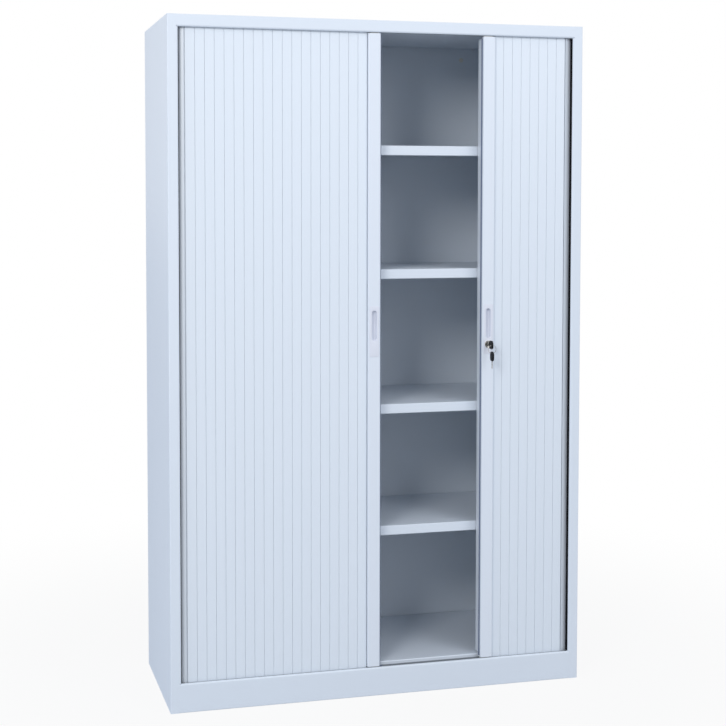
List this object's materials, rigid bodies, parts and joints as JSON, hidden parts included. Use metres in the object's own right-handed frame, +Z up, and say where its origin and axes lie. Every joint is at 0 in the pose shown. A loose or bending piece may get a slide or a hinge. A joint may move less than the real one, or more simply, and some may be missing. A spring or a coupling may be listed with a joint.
{
  "type": "tambour cabinet",
  "caption": "Tall steel office cabinet with two side-rolling slatted tambour doors, adjustable shelves, recessed grips and a cylinder lock with keys.",
  "frame": {"origin": "on the floor, under the middle of the carcass footprint", "axes": "+X to the cabinet's right as seen from the front, +Y to the back, +Z up"},
  "size_m": [1.22, 0.5009, 1.93],
  "materials": {
    "carcass_paint": "satin powder coat",
    "bar_paint": "satin powder coat",
    "slat_plastic": "satin",
    "grip_plastic": "satin",
    "rail_plastic": "satin",
    "nylon": "matt",
    "seal_rubber": "matt",
    "lock_chrome": "polished",
    "zinc": "zinc plated",
    "key_steel": "nickel plated",
    "key_plastic": "satin"
  },
  "bodies": {
    "carcass": {"left_side_panel": "carcass_paint", "right_side_panel": "carcass_paint", "top_panel": "carcass_paint", "plinth": "carcass_paint", "back_panel": "carcass_paint", "base_pan": "carcass_paint", "ceiling_pan": "carcass_paint", "cabinet_floor": "carcass_paint", "left_liner": "carcass_paint", "right_liner": "carcass_paint", "shelf_clips": "zinc", "shelf_1": "carcass_paint", "shelf_2": "carcass_paint", "shelf_3": "carcass_paint", "shelf_4": "carcass_paint", "lower_front_rail": "rail_plastic", "upper_front_rail": "rail_plastic", "lower_corner_guides": "rail_plastic", "upper_corner_guides": "rail_plastic", "lower_side_rails": "rail_plastic", "upper_side_rails": "rail_plastic", "tail_stops": "seal_rubber", "centre_stops": "seal_rubber"},
    "left_door": {"left_door_bar": "bar_paint", "left_grip": "grip_plastic", "left_edge_seal": "seal_rubber", "left_guide_shoes": "nylon", "left_curtain_front": "slat_plastic", "left_strike_plate": "zinc"},
    "left_link_a": {"left_curtain_link_a": "slat_plastic"},
    "left_link_b": {"left_curtain_link_b": "slat_plastic"},
    "left_strip_a": {"left_curtain_strip_a": "slat_plastic"},
    "left_strip_b": {"left_curtain_strip_b": "slat_plastic"},
    "left_link_c": {"left_curtain_link_c": "slat_plastic"},
    "left_link_d": {"left_curtain_link_d": "slat_plastic"},
    "left_tail": {"left_curtain_tail": "slat_plastic"},
    "right_door": {"right_door_bar": "bar_paint", "right_grip": "grip_plastic", "right_edge_seal": "seal_rubber", "right_guide_shoes": "nylon", "right_curtain_front": "slat_plastic", "lock_housing": "lock_chrome", "lock_nut": "zinc"},
    "right_link_a": {"right_curtain_link_a": "slat_plastic"},
    "right_link_b": {"right_curtain_link_b": "slat_plastic"},
    "right_strip_a": {"right_curtain_strip_a": "slat_plastic"},
    "right_strip_b": {"right_curtain_strip_b": "slat_plastic"},
    "right_link_c": {"right_curtain_link_c": "slat_plastic"},
    "right_link_d": {"right_curtain_link_d": "slat_plastic"},
    "right_tail": {"right_curtain_tail": "slat_plastic"},
    "lock_core": {"lock_plug": "lock_chrome", "lock_cam": "zinc", "key_bow": "key_plastic", "key_blade": "key_steel"},
    "key_ring": {"key_ring": "key_steel"},
    "spare_key": {"spare_key_bow": "key_plastic", "spare_key_blade": "key_steel"}
  },
  "joints": [
    {"name": "left_door_slide", "type": "slide", "parent": "carcass", "child": "left_door", "axis": [-1, 0, 0], "range_m": [0, 0.3003], "deforming": ["left_curtain_link_a", "left_curtain_link_b", "left_curtain_strip_a", "left_curtain_strip_b", "left_curtain_link_c", "left_curtain_link_d"]},
    {"name": "left_tail_slide", "type": "slide", "parent": "carcass", "child": "left_tail", "axis": [0, 1, 0], "range_m": [0, 0.30033]},
    {"name": "left_link_a_hinge", "type": "hinge", "parent": "left_door", "child": "left_link_a", "pos_m": [-0.2597, -0.211, 0.9885], "axis": [0, 0, -1], "range_deg": [0, 22.5]},
    {"name": "left_link_b_hinge", "type": "hinge", "parent": "left_link_a", "child": "left_link_b", "pos_m": [-0.287, -0.211, 0.9885], "axis": [0, 0, -1], "range_deg": [0, 45]},
    {"name": "left_strip_a_hinge", "type": "hinge", "parent": "left_link_b", "child": "left_strip_a", "pos_m": [-0.3143, -0.211, 0.9885], "axis": [0, 0, -1], "range_deg": [0, 22.5]},
    {"name": "left_link_d_hinge", "type": "hinge", "parent": "left_tail", "child": "left_link_d", "pos_m": [-0.59567, -0.17533, 0.9885], "axis": [0, 0, -1], "range_deg": [0, 22.5]},
    {"name": "left_link_c_hinge", "type": "hinge", "parent": "left_link_d", "child": "left_link_c", "pos_m": [-0.58522, -0.20055, 0.9885], "axis": [0, 0, -1], "range_deg": [0, 45]},
    {"name": "left_strip_b_hinge", "type": "hinge", "parent": "left_link_c", "child": "left_strip_b", "pos_m": [-0.56, -0.211, 0.9885], "axis": [0, 0, -1], "range_deg": [0, 22.5]},
    {"name": "right_door_slide", "type": "slide", "parent": "carcass", "child": "right_door", "axis": [1, 0, 0], "range_m": [-0.3003, 0], "deforming": ["right_curtain_link_a", "right_curtain_link_b", "right_curtain_strip_a", "right_curtain_strip_b", "right_curtain_link_c", "right_curtain_link_d"]},
    {"name": "right_tail_slide", "type": "slide", "parent": "carcass", "child": "right_tail", "axis": [0, 1, 0], "range_m": [-0.30033, 0]},
    {"name": "right_link_a_hinge", "type": "hinge", "parent": "right_door", "child": "right_link_a", "pos_m": [0.56, -0.211, 0.9885], "axis": [0, 0, 1], "range_deg": [-22.5, 0]},
    {"name": "right_link_b_hinge", "type": "hinge", "parent": "right_link_a", "child": "right_link_b", "pos_m": [0.58522, -0.20055, 0.9885], "axis": [0, 0, 1], "range_deg": [-45, 0]},
    {"name": "right_strip_a_hinge", "type": "hinge", "parent": "right_link_b", "child": "right_strip_a", "pos_m": [0.59567, -0.17533, 0.9885], "axis": [0, 0, 1], "range_deg": [-22.5, 0]},
    {"name": "right_link_d_hinge", "type": "hinge", "parent": "right_tail", "child": "right_link_d", "pos_m": [0.59567, 0.12497, 0.9885], "axis": [0, 0, 1], "range_deg": [-22.5, 0]},
    {"name": "right_link_c_hinge", "type": "hinge", "parent": "right_link_d", "child": "right_link_c", "pos_m": [0.59567, 0.09767, 0.9885], "axis": [0, 0, 1], "range_deg": [-45, 0]},
    {"name": "right_strip_b_hinge", "type": "hinge", "parent": "right_link_c", "child": "right_strip_b", "pos_m": [0.59567, 0.07037, 0.9885], "axis": [0, 0, 1], "range_deg": [-22.5, 0]},
    {"name": "lock_turn", "type": "hinge", "parent": "right_door", "child": "lock_core", "pos_m": [0.32245, -0.211, 1.007], "axis": [0, -1, 0], "range_deg": [0, 90]},
    {"name": "key_ring_swing", "type": "hinge", "parent": "lock_core", "child": "key_ring", "pos_m": [0.32245, -0.2589, 1.007], "axis": [-1, 0, 0], "range_deg": [-6, 70]},
    {"name": "spare_key_swing", "type": "hinge", "parent": "key_ring", "child": "spare_key", "pos_m": [0.32245, -0.2589, 0.983], "axis": [-1, 0, 0], "range_deg": [-5, 50]}
  ],
  "couplings": [
    {"joint": "left_tail_slide", "follows": "left_door_slide", "ratio": 1},
    {"joint": "left_link_a_hinge", "follows": "left_door_slide", "rad_per_m": 1.3077},
    {"joint": "left_link_b_hinge", "follows": "left_door_slide", "rad_per_m": 2.6154},
    {"joint": "left_strip_a_hinge", "follows": "left_door_slide", "rad_per_m": 1.3077},
    {"joint": "left_link_d_hinge", "follows": "left_door_slide", "rad_per_m": 1.3077},
    {"joint": "left_link_c_hinge", "follows": "left_door_slide", "rad_per_m": 2.6154},
    {"joint": "left_strip_b_hinge", "follows": "left_door_slide", "rad_per_m": 1.3077},
    {"joint": "right_tail_slide", "follows": "right_door_slide", "ratio": 1},
    {"joint": "right_link_a_hinge", "follows": "right_door_slide", "rad_per_m": 1.3077},
    {"joint": "right_link_b_hinge", "follows": "right_door_slide", "rad_per_m": 2.6154},
    {"joint": "right_strip_a_hinge", "follows": "right_door_slide", "rad_per_m": 1.3077},
    {"joint": "right_link_d_hinge", "follows": "right_door_slide", "rad_per_m": 1.3077},
    {"joint": "right_link_c_hinge", "follows": "right_door_slide", "rad_per_m": 2.6154},
    {"joint": "right_strip_b_hinge", "follows": "right_door_slide", "rad_per_m": 1.3077}
  ]
}
